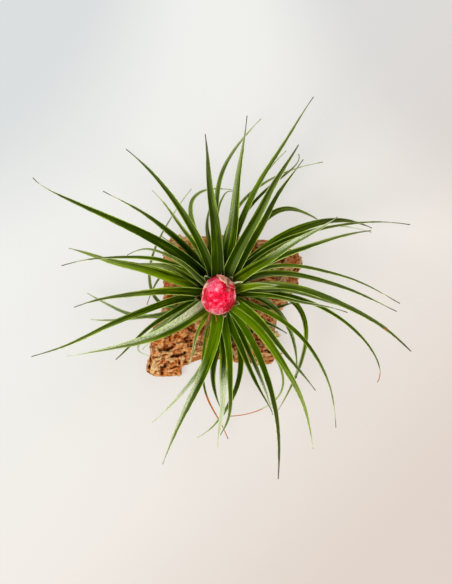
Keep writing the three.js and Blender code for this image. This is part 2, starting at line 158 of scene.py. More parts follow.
INNER_LEAVES = [
    Leaf(336, 336, 12, 336, 3.6, 52, 74, 0.3, 1, 0.8, arch=-26, sun=0.3),
    Leaf(52, 52, 12, 52, 3.4, 52, 72, 0, 1, 0.8, arch=-26),
    Leaf(124, 122, 12, 122, 3.6, 52, 75, -0.1, 1, 0.8, arch=-26),
    Leaf(190, 190, 12, 190, 3.4, 52, 71, 0, 1, 0.8, arch=-26),
    Leaf(288, 288, 12, 288, 3.6, 52, 73, 0.2, 1, 0.8, arch=-26),
]
LOWER_LEAVES = [
    Leaf(100, 95.6, 49, 82, 3, 34, 36, 0.1, 0.35, 0.2),
    Leaf(93, 76.1, 97, 44, 2.4, 32, 20, 0.25, 0.35, 0.6, arms=(0.65, 0.4), frost=(0.3, 0.2)),
    Leaf(78, 64.9, 85, 47, 1.6, 34, 36, 0.3, 0.35, 0.6),
    Leaf(88, 51.8, 91, 15, 1.6, 31, 14, 0.4, 0.35, 0.6, arms=(0.6, 0.45), frost=0.3, sun=0.3),
    Leaf(88, 60.2, 87, 106, 1.6, 33, 24, 0, 0.35, 0.4, arms=(0.6, 0.15)),
    Leaf(92, 78.6, 54, 325, 1.3, 35, 44, 0.1, 0.35, 0.4, arms=(0.8, 0.3), sun=0.2),
    Leaf(111, 80.4, 57, 358, 2.2, 33, 32, 0.3, 0.35, 0.6, arms=(1.05, 0.6), frost=0.3),
    Leaf(204, 104, 58, 47, 1.6, 33, 36, 0.25, 0.35, 0.6, arms=(1, 0.68), frost=0.3),
    Leaf(132, 188, 38, 262, 1.6, 35, 36, 0.25, 0.35, 0.4, arms=(0.9, 0.42), dry=0.9),
    Leaf(205, 222, 49, 350, 1.6, 32, 30, 0.4, 0.35, 0.9, arms=(0.9, 0.35), frost=0.5),
    Leaf(212, 178.9, 70, 143, 2.2, 31, 14, 0.15, 0.35, 0.6, arms=(0.45, 0.38), taper=0.56, frost=0.3),
    Leaf(204, 190.6, 69, 176, 2.1, 34, 28, 0.15, 0.35, 0.6, taper=0.56, frost=0.3),
    Leaf(284, 271.3, 60, 302, 3.7, 34, 36, -0.1, 0.35, 0.2),
    Leaf(302, 261.7, 77, 212, 2.7, 33, 26, 0, (1, 0.5), 0.7, arms=(0.52, 0.38)),
    Leaf(319, 275.6, 65, 185, 1.2, 31, 16, 0.55, 0.35, 0.8, arms=(1, 0.62), frost=0.4, dry=0.74),
    Leaf(12, 296.2, 70, 230, 2.4, 33, 22, 0.1, 0.35, 0.6, arms=(0.98, 0.36)),
    Leaf(12, 313.6, 61, 262, 2.7, 35, 40, 0.05, (0.7, 1), 0.3, arms=(0.54, 0.36), frost=(0.4, 0.1)),
    Leaf(328, 331, 42, 335, 2.7, 34, 38, -0.15, 0.35, 0.2),
    Leaf(340, 355, 42, 25, 2.7, 32, 34, -0.1, 0.35, 0.2),
    Leaf(47, 22.3, 89, 338, 1.6, 33, 16, 0.4, 0.35, 1, frost=0.3, sun=0.4),
    Leaf(67, 33, 68, 318, 3.2, 35, 30, 0, (0.9, 0.6), 0.5, arms=(0.8, 0.42)),
]
MIDDLE_LEAVES = [
    Leaf(108, 122.3, 65, 132, 2.7, 39, 68, 0.2, 0.8, 0.5),
    Leaf(118, 137.6, 82, 150, 3.2, 37, 56, -0.05, (1, 0.8), 0.3, arms=(0.5, 0.42), taper=1),
    Leaf(125, 133.5, 43, 140, 2.4, 40, 62, 0.25, 0.6, 0.4, sun=0.2),
    Leaf(190, 212, 64, 225, 2.7, 38, 58, -0.05, 0.8, 0.2, taper=0.54),
    Leaf(196, 216.3, 49, 228, 2.4, 40, 64, 0.2, 0.9, 0.6, frost=0.3),
    Leaf(208, 215, 29, 222, 2.4, 37, 52, 0.3, 0.35, 0.6),
    Leaf(282, 270.2, 81, 266, 4.3, 38, 58, 0.2, (0.8, 0.5), 0.6, frost=(0.9, 0.75), late=0.38),
    Leaf(284, 271.2, 74, 235, 3.2, 40, 68, 0, (0.5, 1), 0.4, arms=(0.4, 0.2), sun=0.1),
    Leaf(292, 294.5, 68, 296, 3.2, 39, 56, -0.1, (1, 0.4), 0),
    Leaf(304, 294.4, 70, 287, 2.6, 36, 46, 0, 0.8, 0.4, frost=0.5, late=0.5),
    Leaf(346, 311.8, 94, 276, 2, 39, 56, -0.05, (0.6, 0.9), 0.4, arms=(0.6, 0.36), frost=(0.3, 0.2),
         late=0.4, sun=(0, 0.1)),
    Leaf(11, 331.3, 96, 235, 1.8, 37, 50, 0, (0.6, 1), 0.1, arms=(0.62, 0.2), dry=0.86),
    Leaf(4, 352.2, 69, 345, 2.1, 40, 62, 0.2, 0.8, 0.2),
    Leaf(12, 353.7, 68, 333, 2.7, 37, 50, 0.1, (0.5, 1), 0.3, taper=0.6, frost=(0.2, 0.3)),
    Leaf(36, 355, 95, 337, 2.7, 38, 58, 0.05, (0.5, 1.2), -0.2, arms=(0.46, 0.38), frost=(0, 0.25)),
    Leaf(42, 357.6, 96, 332, 1.9, 41, 70, 0.05, (0.5, 1.2), -0.3, arms=(0.48, 0.38), frost=(0, 0.25)),
    Leaf(53, 20, 108, 353, 2.1, 39, 58, 0, (0.7, 0.8), -0.6, arms=(0.38, 0.42)),
    Leaf(46, 23.4, 89, 338, 4.9, 37, 46, -0.1, (0.7, 1), 0.3, arms=(0.45, 0.42), sun=(0, 0.2)),
]
UPPER_LEAVES = [
    Leaf(89, 94.8, 84, 96, 5.2, 49, 96, -0.05, 0.5, 0, frost=(0, 0.15)),
    Leaf(74, 80.9, 95, 82, 4.9, 48, 84, 0.1, (0.3, 0.8), 0, taper=1.1, frost=(0.45, 0.1), late=0.2),
    Leaf(78, 64, 116, 55, 3, 45, 62, 0.1, (0.7, 0.8), 0.3, frost=(0, 0.2), sun=(0.2, 0)),
    Leaf(67, 62.1, 89, 60, 4.8, 50, 92, -0.15, (0.8, 0.9), -0.35, taper=0.65, frost=(0, 0.25), sun=(0,
         0.2)),
    Leaf(52, 58.1, 84, 53, 3.8, 47, 80, -0.1, (0.9, 0.8), -0.1),
    Leaf(104, 122.4, 90, 141, 3.7, 50, 84, -0.05, (0.4, 1), 0.1, frost=(0, 0.2), sun=(0, 0.15)),
    Leaf(124, 147.4, 115, 127, 3.6, 46, 72, -0.1, 0.9, -0.35, arms=(0.45, 0.18), taper=1.45, frost=(0.1,
         0)),
    Leaf(139, 156, 52, 205, 2.1, 51, 90, 0.1, (0.7, 0.6), 0.3, arms=(0.55, 0.35), frost=(0.3, 0.1)),
    Leaf(136, 169.4, 83, 193, 2.1, 50, 90, 0, (1, 0.6), 0, arms=(0.5, 0.4), frost=(0, 0.1), sun=(0.3, 0)),
    Leaf(155, 162.8, 82, 163, 5, 47, 76, 0.2, (1, 0.6), 0.4, sun=(1, 0)),
    Leaf(140, 158.4, 46, 178, 4.8, 46, 86, 0.15, (0.3, 0.9), 0.2, arch=12),
    Leaf(172, 185, 75, 198, 3.5, 50, 96, 0.1, (1, 0.8), 0),
    Leaf(180, 198.5, 103, 198, 3.2, 46, 76, 0.1, (1, 0.8), -0.1, frost=(0, 0.1)),
    Leaf(223, 201.8, 84.5, 185, 5.1, 50, 92, 0.1, (0.7, 0.8), 0.6, arms=(0.38, 0.4), taper=1.2,
         frost=(0.1, 0.9), until=0.3),
    Leaf(238, 247.5, 40, 258, 2.1, 47, 82, 0.3, 0.8, 0.5, arch=12, sun=0.4),
    Leaf(276, 242.5, 75, 217, 2.9, 48, 72, -0.05, 0.7, 0.5, frost=(0.6, 0.5), late=0.2, sun=0.2),
    Leaf(272, 251.7, 93, 248, 4.9, 49, 86, 0, (0.9, 0.5), 0.45, taper=0.84, frost=(0, 0.7), late=0.3,
         sun=(0, 0.2)),
    Leaf(314, 288.4, 102, 268, 3.1, 47, 70, -0.15, (0.5, 0.9), -0.6, taper=0.6),
    Leaf(324, 302, 95, 279, 3.7, 49, 82, 0, (0.6, 0.9), 0.8, sun=(0.1, 0.6)),
    Leaf(342, 315.3, 71, 308, 3.5, 51, 95, 0, 0.8, 0),
    Leaf(22, 343.9, 106, 318, 3.2, 46, 68, -0.08, (0.6, 0.9), -0.4, taper=0.52, frost=(0.2, 0.1),
         sun=(0, 0.1), spot=0.84),
    Leaf(38, 22.6, 87, 8, 3, 48, 80, 0.05, (0.5, 1), 0, taper=0.6),
    Leaf(40, 33.2, 74.5, 32, 4.4, 50, 92, 0, (0.5, 1), 0.35, frost=(0.6, 0.25), late=0.35, sun=(0, 0.3)),
    Leaf(20, 9.9, 34, 5, 3.4, 46, 78, 0.2, 0.8, 0.2, arch=4, sun=(0.7, 0.8)),
]
LONG_DRY_LEAF = Leaf(250, 274.2, 77.5, 297, 1.2, 27, 10, 0.1, 0.35, 0.2, arms=(0.62, 0.3), sheath=2,
                     dry=0.5)

# Flower head: a closed bud, wider north to south than it is east to west
HEAD_MIDDLE = 68
HEAD_ABOVE = 14
HEAD_BELOW = 12.65
HEAD_RADIUS = 7.85
HEAD_DEPTH_SCALE = 1.16
HEAD_STALK_RADIUS = 2.6
HEAD_SHIFT = Vector((0.3, -0.2, HEAD_MIDDLE))
CORE_INSET = 0.1
CORE_TONE = 0.25
CORE_GRID = (40, 28)
BRACT_GRID = (24, 34)
BRACT_THICKNESS = 0.45
BRACT_CLEARANCE = 1.5
BRACT_LAYERS = ("along", "across", "tone", "pale", "slit", "rim")

# Each bract, first by its place: its bearing, the angles above the bud's middle where it starts
# and ends, and its half width. Then by its look: how far it stands out and its rim lifts, its tone
# from dark crimson to pale pink, how pale its edge is, and how much peach it has.
BRACTS = [
    ((264, -52, 3, 6.5), (0.7, 0.3, 0.6, 0.9, 0)),
    ((318, -50, 2, 6.5), (0.9, 0.2, 0.05, 0.1, 0)),
    ((210, -50, -2, 6.5), (1, 0.3, 0.3, 0.5, 0)),
    ((10, -50, 18, 6), (1, 0.5, 0.5, 0.6, 0)),
    ((158, -52, 24, 6), (0.9, 0.4, 0.5, 0.9, 0)),
    ((110, -50, 0, 6.5), (0.5, 0.2, 0.4, 0.2, 0)),
    ((225, -40, 98, 10), (0.7, -0.3, 0.35, 0, 0)),
    ((300, -40, 94, 9.5), (0.55, -0.3, 0.3, 0, 0)),
    ((58, -40, 44, 5.6), (1.6, 0.3, 0.8, 0.2, 0.9)),
    ((0, -40, 62, 6.4), (0.95, 0, 0.35, 0, 0)),
    ((116, -40, 85, 8.2), (0.9, -0.5, 0.45, 0, 0)),
    ((84, -20, 16, 1.6), (1.5, 0.7, 0.8, 0.8, 0)),
]

# Patches on the bud's top, painted highlights and painted shade among them: the place of each in plan, its
# radius, and what it adds to tone and pallor
BUD_PATCHES_AND_PAINTED_LIGHT = [
    (-2.1, 4.7, 4.6, 0.5, 0),
    (-1.1, 2.3, 1.2, 0.3, 0),
    (3.1, 6.2, 2.2, -0.5, 0),
    (3.1, 3.4, 1.8, -0.4, 0),
    (6.6, 3.9, 2.4, -0.5, 0),
    (0.5, -0.9, 2.6, -0.3, 0),
    # Painted highlights: the pale east rim, partly its own pallor, then four small sheen spots
    (8.7, -0.3, 2.2, 0.9, 0),
    (-7.2, -3.4, 1.2, 1.2, 0),
    (-4, -4.2, 1, 0.45, 0),
    (1, -4.2, 1.1, 0.7, 0),
    (7.6, -0.9, 1.2, 1, 0),
    # Painted shade under the rim at the lower right and along the left side
    (5.8, -5.9, 3, -0.5, 0),
    (-8.8, 0.2, 2, -0.6, 0),
    (-1.4, -7.6, 2.6, 0.6, 0),
    (1.4, -8, 2.2, 0.75, 0),
    (-3.6, -7.8, 2.2, 0.75, 0),
    (-6.7, 5.4, 2.8, 0, 1.2),
    (5.4, 4.2, 1.8, 0, -0.9),
]

# The grey-green slit between the crown bract and the one east of it: its ends in plan, how far
# out it starts and stops to close, and its depth
SLIT_START = Vector((4.3, 2.2))
SLIT_END = Vector((4.3, 7.6))
SLIT_SIDES = (0.24, 0.84)
SLIT_DEPTH = 0.9

# Small dried bracts at the foot of the bud: two south of it and a withered scrap to its north-east
DRIED_BRACTS = [
    Leaf(244, 249, 14.6, 255, 1.1, 56, 64, 0.6, 0.35, 0.2, arch=10, sheath=1.5, dry=-1),
    Leaf(262, 264, 13.8, 262, 0.9, 56, 65, 0.6, 0.35, 0.2, arch=10, sheath=1.5, dry=-1),
    Leaf(36, 26, 14.4, -25, 1.9, 57, 71, 0.9, 0.35, 1, arch=20, sheath=2, frost=0.9),
]

# Cork bark: angular flakes on a rotted core, mostly along one bearing. The plant's seat is bare, and
# ends between two radii.
CORK_BEARING = 15
CORK_VOXEL = 0.56
CORK_SHRINK = 2.6
CORK_SIDE_SHARE = 0.1
CORK_SEAT = (7, 12)
CORK_RIDGE = 0.75
CORK_RIDGE_SIZE = 3
CORK_STRETCH = 1.7
CORK_GRAIN = 0.4
HOLLOW_DEPTH = 0.9
HOLLOW_BLUR = 14

# Large flakes first, then small ones: how many, the ranges of their length, width and height and of
# how proud they lie, and how far they tilt
FLAKES = [
    (150, ((7, 15), (3, 6), (1.6, 2.8)), (-1, 1.8), 14),
    (260, ((3, 7), (1.6, 3.2), (1.2, 2.4)), (-1.4, 1.4), 22),
    (260, ((1.4, 3), (1, 1.8), (1.1, 1.8)), (-1.8, 0.6), 30),
]
FLAKE_CORNERS = (4, 5, 6, 7)
FLAKE_TAPER = (0.38, 0.5)
FLAKE_WARP = (0.75, 1.25)
FLAKE_SINK = (0.2, 1.2)
FLAKE_TOP_TURN = 22
FLAKE_SIDE_TURN = 12

# Where the outline is bitten in: a place in plan and a radius
CORK_BITES = [(-16.8, -40.6, 3.0), (-42.4, -31, 6), (-42.4, -25, 6)]

# The squarer blocks of the south-west ledge: the middle of each in plan, its size and its turn
LEDGE_CORNER = (-14, -24)
LEDGE_LIFT = 0.4
LEDGE_BLOCKS = [
    ((-34.4, -40.2), (8, 5.4, 9), -24),
    ((-28.5, -41.6), (10, 4.4, 10), 4),
    ((-23, -40.6), (5.8, 5.8, 9), 0),
]

# The cracks that show on the ledge and beside it, each by its path in plan, its half width and its
# depth, and then what the ones strewn elsewhere are like
CORK_CRACKS = [
    ([(-31.4, -29.5), (-26.6, -29.1), (-24.6, -27.9)], 0.8, 3.5),
    ([(-34.7, -33.8), (-32.1, -33.2), (-27.6, -31.9)], 0.6, 2.5),
    ([(-24.9, -33.1), (-18.2, -31.7), (-17.7, -30.9)], 0.7, 3.5),
    ([(-34.5, -27.8), (-34, -30)], 0.7, 2.5),
    ([(-36.1, -34.1), (-36.1, -36.7), (-37, -38.9)], 0.7, 3),
    ([(-26.6, -35.4), (-26.4, -35.8)], 0.8, 2.5),
    ([(-27.9, -37.7), (-30, -38.9), (-30.2, -42.3)], 0.9, 1.8),
    ([(-21, -34.9), (-20.6, -37)], 0.6, 3.5),
    ([(-17.7, -35.7), (-17.3, -35.9)], 1.1, 2.5),
    ([(-25.4, -39.4), (-21.8, -38.4)], 0.6, 1.8),
    ([(-23.8, -26.1), (-23.5, -26.3)], 0.8, 2.5),
    ([(-16.7, -25), (-14.1, -23.9)], 0.8, 3),
]
CRACK_COUNT = 90
CRACK_LENGTH = (2, 6)
CRACK_HALF = (0.25, 0.55)
CRACK_DEPTH = (0.8, 2.2)
CRACK_TURN = 28
CRACK_BEND = 1.2
CRACK_STEP = 0.4

ROOT_VOXEL = 0.32
ROOT_KNOTS = 0.16


def colour(red, green, blue):
    """A colour as a screen shows it, 0 to 255, as linear light."""
    linear = []
    for level in (red, green, blue):
        part = level / 255
        linear.append(part / 12.92 if part <= 0.04045 else ((part + 0.055) / 1.055) ** 2.4)
    return (*linear, 1)


def clamp(value, low=0, high=1):
    return max(low, min(high, value))


def lerp(a, b, part):
    return a + (b - a) * part


def ramp(value, low, high):
    """Goes from 0 at low to 1 at high, smoothly and clamped."""
    part = clamp((value - low) / (high - low))
    return part * part * (3 - 2 * part)


def direction(bearing, pitch=0):
    """A unit direction from a bearing in plan and a pitch above level, both in degrees."""
    angle = radians(bearing)
    rise = radians(pitch)
    return Vector((cos(rise) * cos(angle), cos(rise) * sin(angle), sin(rise)))


def halves(value):
    """The left and the right value of a leaf's look that is one number or a pair."""
    return value if isinstance(value, tuple) else (value, value)


def layered(names):
    """An empty shape whose vertices carry a number for each name."""
    bm = bmesh.new()
    for name in names:
        bm.verts.layers.float.new(name)
    return bm


def set_layers(vert, layers, values):
    for layer, value in zip(layers, values):
        vert[layer] = value


def shade_smooth(bm):
    for face in bm.faces:
        face.smooth = True


def move_all(bm, moves):
    for vert, move in zip(bm.verts, moves):
        vert.co += move


def even_out(bm, factor, times):
    for step in range(times):
        bmesh.ops.smooth_vert(bm, verts=bm.verts, factor=factor, use_axis_x=True, use_axis_y=True,
                              use_axis_z=True)


def linked(name, data):
    made = bpy.data.objects.new(name, data)
    bpy.context.scene.collection.objects.link(made)
    return made


def mesh_of(bm, name, finish=None):
    mesh = bpy.data.meshes.new(name)
    bm.to_mesh(mesh)
    bm.free()
    mesh.materials.append(finish)
    return mesh


def finished(bm, name, finish, node):
    """Turns a shape in millimetres into a piece that stands for a node of the frame."""
    bmesh.ops.scale(bm, verts=bm.verts, vec=(MM, MM, MM))
    piece = linked(name, mesh_of(bm, name, finish))
    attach(piece, "root")
    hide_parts(node)
    return piece


class Wire:
    """What comes out of a node. Anything worked out from it adds nodes to the same tree."""

    def __init__(self, socket):
        self.socket = socket

    def new(self, kind, inputs, output=0, **settings):
        return Wire(add_node(self.socket.id_data, "ShaderNode" + kind, inputs, **settings)[output])

    def math(self, operation, other=0):
        return self.new("Math", {0: self, 1: other}, operation=operation)

    def __add__(self, other):
        return self.math("ADD", other)

    def __sub__(self, other):
        return self.math("SUBTRACT", other)

    def __mul__(self, other):
        return self.math("MULTIPLY", other)

    def __rtruediv__(self, other):
        return self.new("Math", {0: other, 1: self}, operation="DIVIDE")

    def __abs__(self):
        return self.math("ABSOLUTE")

    def axis(self, index):
        return self.new("SeparateXYZ", {0: self}, index)

    def scaled(self, *scale):
        return self.new("Mapping", {"Vector": self, "Scale": scale})

    def noise(self, size, detail=3, roughness=0.55):
        """Soft noise from 0 to 1, with lumps of about that size, at a place."""
        inputs = {"Vector": self, "Scale": 1 / size, "Detail": detail, "Roughness": roughness}
        return self.new("TexNoise", inputs)

    def ramp(self, low, high, out_low=0, out_high=1):
        """Maps low..high to out_low..out_high, smoothly and clamped."""
        inputs = {0: self, 1: low, 2: high, 3: out_low, 4: out_high}
        return self.new("MapRange", inputs, interpolation_type="SMOOTHSTEP")


def join(value, socket):
    """Leads a wire into a socket, or sets the socket to a plain value."""
    if isinstance(value, Wire):
        socket.id_data.links.new(value.socket, socket)
    else:
        socket.default_value = value


def add_node(tree, kind, inputs=(), **settings):
    """Adds a node to a tree and returns its outputs."""
    node = tree.nodes.new(kind)
    for name, value in settings.items():
        setattr(node, name, value)
    for socket, value in dict(inputs).items():
        join(value, node.inputs[socket])
    return node.outputs


def mix(part, a, b):
    """Goes from a to b as part goes from 0 to 1. A tuple is a colour as a screen shows it."""
    a, b = (colour(*tint) if isinstance(tint, tuple) else tint for tint in (a, b))
    return part.new("Mix", {0: part, 6: a, 7: b}, 2, data_type="RGBA")


def attribute(tree, name):
    return Wire(add_node(tree, "ShaderNodeAttribute", attribute_name=name)["Fac"])


def position(tree, stretch=1, turn=0):
    """The place on the piece in millimetres, stretched and turned about Z in degrees."""
    place = Wire(add_node(tree, "ShaderNodeTexCoord")["Object"])
    inputs = {"Vector": place, "Scale": [stretch / MM] * 3, "Rotation": (0, 0, radians(turn))}
    return place.new("Mapping", inputs)


def new_group(name, inputs, outputs):
    """An empty node group, and wires from its inputs, numbers or places with first values."""
    group = bpy.data.node_groups.new(name, "ShaderNodeTree")
    for label, value in inputs.items():
        kind = "NodeSocketVector" if isinstance(value, tuple) else "NodeSocketFloat"
        group.interface.new_socket(label, in_out="INPUT", socket_type=kind).default_value = value
    for label in outputs:
        group.interface.new_socket(label, in_out="OUTPUT", socket_type="NodeSocketFloat")
    return group, [Wire(socket) for socket in add_node(group, "NodeGroupInput")[:len(inputs)]]


def use_group(tree, group, *values):
    """Adds a node group with the values of its inputs and returns its outputs."""
    outputs = add_node(tree, "ShaderNodeGroup", enumerate(values), node_tree=group)
    return [Wire(socket) for socket in outputs]


def new_finish(name, levels):
    """A material, its tree and its shader's inputs, some of them set."""
    material = bpy.data.materials.new(name)
    material.use_nodes = True
    shader = material.node_tree.nodes["Principled BSDF"].inputs
    for label, level in levels.items():
        join(level, shader[label])
    return material, material.node_tree, shader


def coat(shader, tint, relief, depth, strength=1):
    """Gives a finish its colour and a relief with its full depth in millimetres."""
    join(tint, shader["Base Color"])
    bump = {"Height": relief, "Distance": depth * MM, "Strength": strength}
    join(relief.new("Bump", bump), shader["Normal"])


def scurf_group():
    """The silvery scales that dust the plant: specks one unit across, thicker with the amount."""
    inputs = {"Place": (0, 0, 0), "Amount": 0.2}
    group, (place, amount) = new_group("scurf", inputs, ("Mask", "Height"))
    fine = place.noise(1, 2)
    reach = amount * place.noise(11, 2).ramp(0.3, 0.7, 0.75, 1.2)
    mask = (fine - reach.ramp(0, 1, 0.72, 0.36)).ramp(-0.05, 0.09)
    add_node(group, "NodeGroupOutput", {"Mask": mask, "Height": fine})
    return group


def grain_group():
    """Woody grain: long fibres with pits between them."""
    group, (fibre_size, pit_size) = new_group("wood grain", {"Fibre": 1.2, "Pit": 2.5}, ("Fibre", "Pits"))
    place = position(group, 1, -CORK_BEARING).scaled(0.35, 1, 1.4)
    fibre = place.noise(fibre_size, 4, 0.65)
    pits = place.new("TexVoronoi", {"Vector": place, "Scale": 1 / pit_size}, "Distance")
    add_node(group, "NodeGroupOutput", {"Fibre": fibre, "Pits": pits.ramp(0.05, 0.45)})
    return group


def leaf_finish(scurf):
    """Streaked green, with painted shade and painted light at the foot and across the channel, frost, pale
    margins and dry parts.
    """
    levels = {"Specular IOR Level": 0.05, "Specular Tint": colour(206, 226, 96)}
    material, tree, shader = new_finish("green leaf", levels)
    look = [attribute(tree, name) for name in BLADE_LAYERS]
    along, side, rim, leaf_tone, frost, sun, edge, foot_light, fade, dry = look
    across = abs(side)
    cloud = position(tree).noise(9)
    blade = side.new("CombineXYZ", {0: side, 1: along, 2: leaf_tone})
    streak = blade.scaled(3.4, 2.2, 40).noise(1, 3, 0.6)
    thread = blade.scaled(13, 5, 40).noise(1, 3, 0.7)
    # Painted shade down the middle crease, with a painted highlight along each side of it
    crease = across.ramp(0.2, 0.08) - across.ramp(0.08, 0, 0, 1.6)
    tone = leaf_tone + cloud.ramp(0.25, 0.75, -0.1, 0.1)
    tone += streak.ramp(0.36, 0.64, -0.34, 0.36)
    tone += thread.ramp(0.34, 0.66, -0.2, 0.24)
    # Painted shade in the middle of the channel and painted light on its sides, stronger further out
    tone += across.ramp(0.05, 0.9, -0.35, 0.35) * along.ramp(0.2, 0.8, 0.3, 0.8)
    tone += crease * 0.14
    green = mix(tone.ramp(-0.05, 0.42), (36, 54, 0), (90, 114, 0))
    green = mix(tone.ramp(0.35, 0.9), green, (162, 188, 44))
    # Painted shade darkens the foot of leaves that start on the north side, and painted light brightens the
    # foot of those on the south side
    foot = along.ramp(0.55, 0.12)
    green = mix(foot * foot_light.ramp(0.6, 0.15, 0, 0.8), green, (30, 52, 0))
    green = mix(foot * foot_light.ramp(0.5, 0.95, 0, 0.55), green, (86, 130, 0))
    # Painted light: a sunlit yellow-green on the leaf halves that face the light
    green = mix(sun * 0.8, green, (140, 174, 14))

    # The outer part turns olive, then dull or pale; the pale is the scurf's own pallor with a painted sheen
    outer = along.ramp(0.35, 0.95)
    olive = outer * streak.ramp(0.4, 0.62, 0.1, 0.55) * leaf_tone.ramp(-0.2, 0.15, 0.1, 1)
    green = mix(olive, green, (146, 154, 98))
    fade = outer * fade
    green = mix(fade.ramp(-0.05, -0.6, 0, 0.85), green, (80, 84, 38))
    lines = thread.ramp(0.38, 0.6)
    # Pale along fine lines: the scurf's own pallor with a painted sheen
    green = mix(fade.ramp(0.1, 0.9) * lines.ramp(0, 1, 0.3, 0.85), green, (168, 184, 98))

    # Frost is a silvery film along fine lines, with specks on it
    silvery = mix(frost.ramp(0.75, 1), (180, 196, 140), (208, 222, 166))
    green = mix(frost.ramp(0.05, 0.95) * lines.ramp(0, 1, 0.3, 0.95), green, silvery)
    amount = frost * 0.7 + fade * 0.45
    specks, scales = use_group(tree, scurf, blade.scaled(9, 110, 40), amount + 0.08)
    green = mix(specks * amount.ramp(0.05, 0.6, 0.05, 0.75), green, (222, 230, 198))
    join(specks.ramp(0, 1, 0.45, 0.8), shader["Roughness"])

    # A broken pale line down each margin, a dark point, and withered parts over it all
    margin = mix(outer, (194, 216, 108), (230, 236, 196))
    broken = position(tree).noise(7, 2).ramp(0.38, 0.56, 0.35, 1)
    green = mix(rim.ramp(0.38, 0.1) * edge * broken, green, margin)
    green = mix(along.ramp(0.9, 0.98) * fade.ramp(0.6, 0.2, 0, 0.85), green, (76, 68, 58))
    green = mix(dry.ramp(0.3, 0.7), green, mix(cloud, (176, 84, 30), (222, 146, 88)))
    veins = (across * 44).math("SINE")
    coat(shader, green, veins * 0.25 + scales, 0.12, 0.7)
    return material


def dry_leaf_finish(scurf):
    material, tree, shader = new_finish("dry leaf", {"Roughness": 0.75})
    brown = mix(position(tree).noise(6, 4), (120, 62, 30), (206, 140, 84))
    veins = (attribute(tree, "across") * 30).math("SINE")
    brown = mix(veins.ramp(-1, 1, 0, 0.3), brown, (226, 180, 128))
    specks, scales = use_group(tree, scurf, position(tree, 2), 0.3)
    coat(shader, mix(specks * 0.35, brown, (232, 214, 188)), veins + scales, 0.2, 0.8)
    return material


def stem_finish(scurf):
    material, tree, shader = new_finish("stem", {"Roughness": 0.6})
    green = mix(position(tree).noise(4, 4), (70, 84, 30), (140, 150, 78))
    specks, scales = use_group(tree, scurf, position(tree, 2), 0.5)
    coat(shader, mix(specks * 0.5, green, (206, 206, 176)), scales, 0.2)
    return material


def bract_finish(scurf):
    """Blotched crimson to pale pink, with powder, peach patches, the slit and pale rims."""
    levels = {"Roughness": 0.5, "Specular IOR Level": 0.18, "Specular Tint": colour(255, 190, 196)}
    material, tree, shader = new_finish("pink bract", levels)
    along, side, bract_tone, pale, slit, rim = (attribute(tree, name) for name in BRACT_LAYERS)
    place = position(tree)
    blotch = place.noise(2.4, 5, 0.7)
    fleck = place.noise(0.9, 3, 0.6)
    tone = bract_tone + blotch.ramp(0.35, 0.65, -0.3, 0.35)
    tone += fleck.ramp(0.35, 0.65, -0.2, 0.26)
    pink = mix(tone.ramp(-0.2, 0.4), (176, 0, 30), (246, 0, 56))
    pink = mix(tone.ramp(0.3, 1), pink, (255, 90, 126))
    # The palest pink shows on the pale rims and on the painted highlights among the bud's patches
    pink = mix(tone.ramp(1, 1.6), pink, (255, 196, 202))
    powder = use_group(tree, scurf, position(tree, 2), tone.ramp(0.2, 1, 0.1, 0.5))[0]
    pink = mix(powder * 0.4, pink, (255, 160, 170))
    peach = mix(fleck.ramp(0.36, 0.6), (224, 160, 132), (255, 214, 186))
    patchy = pale + blotch.ramp(0.4, 0.6, -0.4, 0.3)
    pink = mix(patchy.ramp(0.3, 0.9, 0, 0.92), pink, peach)
    pink = mix(slit * 0.9, pink, (112, 96, 62))
    edge = abs(side).ramp(0.88, 0.99).math("MAXIMUM", along.ramp(0.93, 0.99))
    broken = place.noise(2).ramp(0.35, 0.55, 0.2, 1)
    pink = mix(edge * rim * broken, pink, (252, 196, 176))
    coat(shader, pink, blotch + fleck * 0.5, 0.5, 0.7)
    return material


def cork_finish(grain):
    """Each flake has its own brown, specked and grained, with a painted highlight where high and painted
    shade in hollows.
    """
    material, tree, shader = new_finish("cork bark", {"Roughness": 0.85, "Specular IOR Level": 0.05})
    place = position(tree, 1, -CORK_BEARING)
    fibre, pits = use_group(tree, grain, 1.3, 1.8)
    flake = attribute(tree, "tone") + place.noise(4).ramp(0.3, 0.7, -0.25, 0.25)
    speck = place.noise(1.5, 4, 0.7)
    spot = position(tree)
    north_east = spot.axis(0) + spot.axis(1)
    hollow = attribute(tree, "crevice")
    brown = mix(flake.ramp(0, 0.45), (196, 92, 26), (238, 148, 76))
    for mask, low, high, most, tint in (
        (flake, 0.55, 1.05, 1, (255, 216, 152)),
        (speck, 0.5, 0.34, 0.75, (116, 46, 0)),
        (speck, 0.53, 0.68, 0.8, (255, 222, 162)),
        (fibre, 0.5, 0.3, 0.4, (146, 64, 12)),
        (pits, 0.5, 0, 0.5, (106, 44, 4)),
        (north_east, 24, 56, 0.6, (160, 66, 24)),
        # Painted highlight where the bark stands proud; in the hollows a darker brown, partly the bark's
        # own and partly painted shade; painted shade deepest in the cracks
        (hollow, -0.2, -1, 0.6, (255, 218, 158)),
        (hollow, 0.05, 0.7, 0.8, (120, 48, 6)),
        (hollow, 0.6, 1.7, 0.95, (44, 32, 0)),
    ):
        brown = mix(mask.ramp(low, high, 0, most), brown, tint)
    coat(shader, brown, speck + pits * 0.7, 1.4)
    return material


def root_finish(grain):
    material, tree, shader = new_finish("wiry root", {"Roughness": 0.8})
    fibre = use_group(tree, grain, 0.8, 1.2)[0]
    coat(shader, mix(fibre, (52, 30, 16), (138, 94, 58)), fibre, 0.3)
    return material


